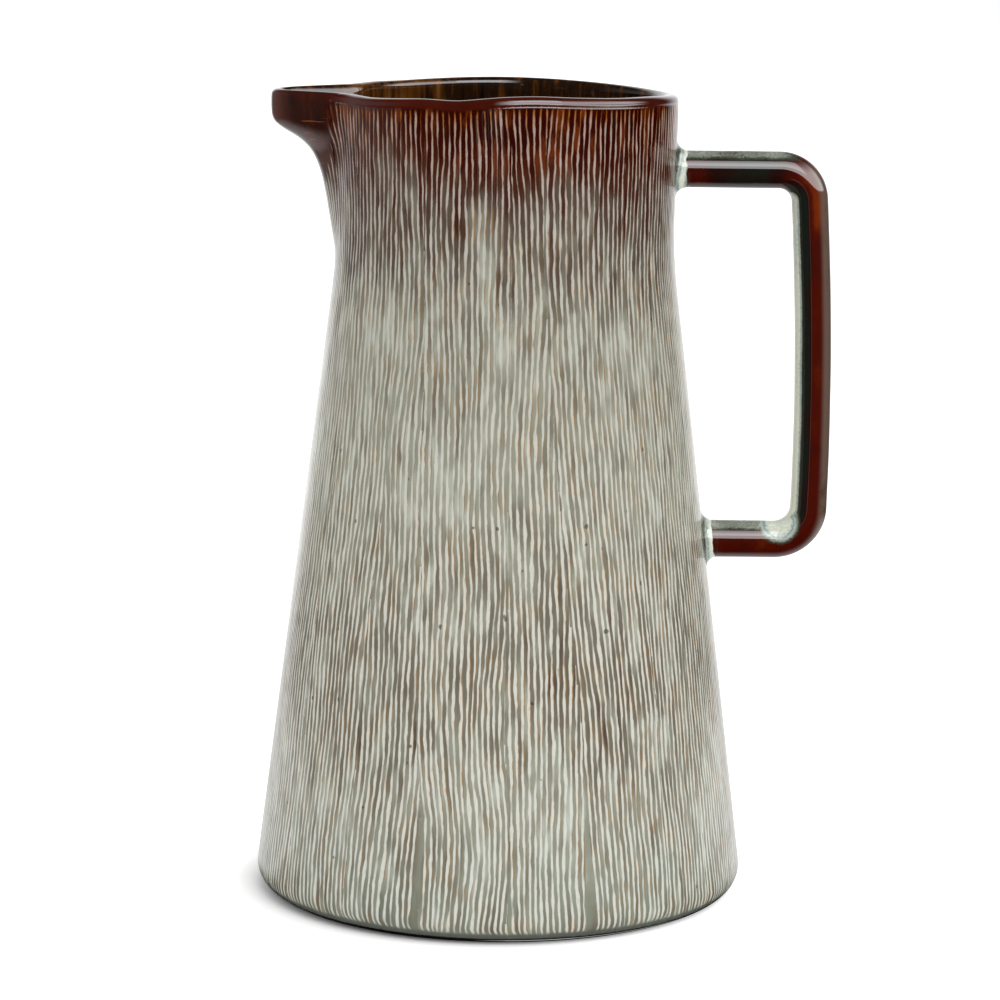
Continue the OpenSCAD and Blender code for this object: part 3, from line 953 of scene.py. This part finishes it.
def buildCollar(name, form):
    bm = bmesh.new()
    turns = [math.pi / 2 * k / collarShape["arc"] for k in range(collarShape["arc"] + 1)]
    fillet = [(1 - math.sin(a), 1 - math.cos(a)) for a in turns]
    section = collarShape["foot"] + fillet + collarShape["end"]
    bmesh.ops.create_grid(bm, x_segments=collarShape["around"], y_segments=len(section), size=0.5)
    for vert in bm.verts:
        angle = (vert.co.x + 0.5) * fullTurn
        out, along = section[round((vert.co.y + 0.5) * len(section)) % len(section)]
        whim = grain((3 * math.cos(angle), 3 * math.sin(angle), form["seed"] * 7), 1.6, 1.6, 1)
        reach = handleForm["rod"] - collarShape["sunk"]
        reach += form["spread"] * out * (1 + collarShape["wavySpread"] * whim)
        y, z = reach * math.sin(angle), form["height"] + reach * math.cos(angle)
        wall = math.sqrt(wallRadius(z) ** 2 - y * y)
        lean = form["lean"] * (z - form["height"]) * clamp(along)
        run = form["run"] * along * (1 + collarShape["wavyRun"] * whim)
        vert.co = Vector((wall + run + lean, y, z))
    bmesh.ops.remove_doubles(bm, verts=bm.verts, dist=weldWithin)
    bmesh.ops.recalc_face_normals(bm, faces=bm.faces)

    def marks(vert):
        place, pooling = vert.co, collarShape["pooling"]
        fromWall = place.x - math.sqrt(wallRadius(place.z) ** 2 - place.y**2)
        fromWall -= form["lean"] * (place.z - form["height"])
        pooled = readTable(pooling, clamp(fromWall, 0, pooling[-1][0])) + 0.1 * grain(place, 3, 3, 3)
        return pooled, collarShape["warmth"], farBelowRim, 0, 0

    markGlaze(bm, marks)
    makePiece(bm, name, [finishes["slip"]], form["node"])


for name, form in collarForms.items():
    buildCollar(name, form)

# The studio: a white floor and backdrop, a white room, a bright window over the camera and one lamp

studio = {
    "floorX": 3.0,
    "floorFront": -0.26,
    "floorBack": 6.0,
    "roomLight": 0.85,
    # the walls as the glaze mirrors them, and the parts of a direction between which they brighten
    "sideGloss": 0.3,
    "sideEdge": (-0.5, 0.3),
    "backGloss": 1.15,
    "backEdge": (0.66, 0.93),
    "darkGloss": 0.03,
    # the floor near the jug as the glaze mirrors it, out to so many metres
    "nearGloss": 0.95,
    "nearEdge": (0.3, 0.5),
    # metres from the foot between which the painted shadow in the floor's reflection lifts
    "glossFrom": (0.054, 0.072),
    # the window's light and the degrees above the floor that it spans
    "windowLight": 6.5,
    "windowLow": 9,
    "windowHigh": 58,
    "stripLight": 0.9,
    # the floor as the camera sees it: a soft shadow round the foot, shifted a little
    "contactGlow": 0.02,
    "floorGlow": 0.62,
    "glowFrom": (0.05, 0.077),
    "shadowShift": (0.01, 0.004),
    "floorWhite": 0.93,
    "lampPlace": (0.45, -1.1, 1.2),
    "lampAim": (0, 0, 0.1),
    "lampSize": 0.9,
    "lampPower": 9.8,
    "cameraPlace": (-0.6, -993.5, 276.7),
    "cameraPitch": 9.688,
    "cameraRoll": 0.654,
    "lens": 132.7,
    "sensor": 36,
    "clip": (0.01, 50),
}


def surround(look, x, y):
    # how bright the studio's walls are in the glaze, by the direction: a bright back and a pale left side
    back = look.smooth(*studio["backEdge"], y) * (0.9 + 0.12 * look.smooth(-0.2, 0.2, x))
    side = look.smooth(*studio["sideEdge"], y) * (1 - look.smooth(-0.4, 0.0, x))
    return studio["backGloss"] * back + studio["sideGloss"] * side


def buildFloor():
    bm = bmesh.new()
    bmesh.ops.create_grid(bm, x_segments=8, y_segments=8, size=0.5)
    middle = (studio["floorBack"] + studio["floorFront"]) / 2
    for vert in bm.verts:
        vert.co.x *= 2 * studio["floorX"]
        vert.co.y = vert.co.y * (studio["floorBack"] - studio["floorFront"]) + middle
    mesh = bpy.data.meshes.new("studioFloor")
    bm.to_mesh(mesh)
    bm.free()
    floor = bpy.data.objects.new("studioFloor", mesh)
    bpy.context.scene.collection.objects.link(floor)
    material = bpy.data.materials.new("floorPaint")
    look = Look(material)
    x, y, _ = look.split(look.place)
    seen, glossy = (look.node("ShaderNodeLightPath", output=k) for k in (0, 3))
    shiftX, shiftY = studio["shadowShift"]
    around = look.node("ShaderNodeCombineXYZ", sockets={0: x + shiftX, 1: y + shiftY})
    away = look.node("ShaderNodeVectorMath", {"operation": "LENGTH"}, {0: around}, 1)
    glow = studio["contactGlow"] + studio["floorGlow"] * look.smooth(*studio["glowFrom"], away)
    near = 1 - look.smooth(*studio["nearEdge"], away)
    mirrored = near * studio["nearGloss"] * look.smooth(-0.3, 0.3, y / away)
    mirrored = mirrored + (1 - near) * surround(look, x / away, y / away)
    # painted shadow in the floor's reflection: dark close to the foot, so the glaze there mirrors black
    mirrored = mirrored * look.smooth(*studio["glossFrom"], away)
    white = look.mix(glossy, (studio["floorWhite"],) * 3 + (1,), (0, 0, 0, 1))
    look.finish({
        "Base Color": white,
        "Roughness": 1.0,
        "Specular IOR Level": 0.0,
        "Emission Color": seen * glow + glossy * mirrored,
        "Emission Strength": 1.0,
    })
    mesh.materials.append(material)


def buildRoom():
    world = bpy.data.worlds.new("studioRoom")
    bpy.context.scene.world = world
    look = Look(world)
    x, y, z = look.split(look.node("ShaderNodeTexCoord"))
    seen, glossy, through = (look.node("ShaderNodeLightPath", output=k) for k in (0, 3, 6))
    level = 1 - look.smooth(0.3, 0.7, z)
    low, high = (math.sin(math.radians(studio[name])) for name in ("windowLow", "windowHigh"))
    window = look.smooth(low - 0.02, low + 0.02, z) * (1 - look.smooth(high - 0.35, high + 0.08, z))
    window = window * look.smooth(-0.2, 0.05, x) * (1 - look.smooth(0.0, 0.4, y))
    strip = (1 - look.smooth(0.012, 0.03, (x - 0.2 * y).part("ABSOLUTE"))) * (1 - look.smooth(0.0, 0.2, z))
    mirrored = studio["darkGloss"] + level * surround(look, x, y)
    mirrored = mirrored + studio["windowLight"] * window
    mirrored = mirrored + studio["stripLight"] * strip * look.smooth(0.3, 0.6, -1 * y)
    strength = glossy * mirrored + (1 - glossy) * studio["roomLight"]
    white = seen + through
    strength = strength * (1 - white) + white
    background = look.node("ShaderNodeBackground", sockets={"Color": (1, 1, 1, 1), "Strength": strength})
    look.node("ShaderNodeOutputWorld", sockets={"Surface": background})


def buildLamp():
    light = bpy.data.lights.new("softBox", "AREA")
    light.size, light.energy = studio["lampSize"], studio["lampPower"]
    lamp = bpy.data.objects.new("softBox", light)
    bpy.context.scene.collection.objects.link(lamp)
    lamp.location = studio["lampPlace"]
    lamp.rotation_euler = (Vector(studio["lampAim"]) - lamp.location).to_track_quat("-Z", "Y").to_euler()


def buildCamera():
    lens = bpy.data.cameras.new("photographer")
    lens.lens, lens.sensor_width = studio["lens"], studio["sensor"]
    lens.clip_start, lens.clip_end = studio["clip"]
    camera = bpy.data.objects.new("photographer", lens)
    bpy.context.scene.collection.objects.link(camera)
    camera.location = Vector(studio["cameraPlace"]) * mm
    aim = Matrix.Rotation(math.radians(90 - studio["cameraPitch"]), 4, "X")
    camera.rotation_euler = (aim @ Matrix.Rotation(math.radians(studio["cameraRoll"]), 4, "Z")).to_euler()
    bpy.context.scene.camera = camera


buildFloor()
buildRoom()
buildLamp()
buildCamera()
bpy.context.scene.view_settings.view_transform = "Standard"
print("studio ready")
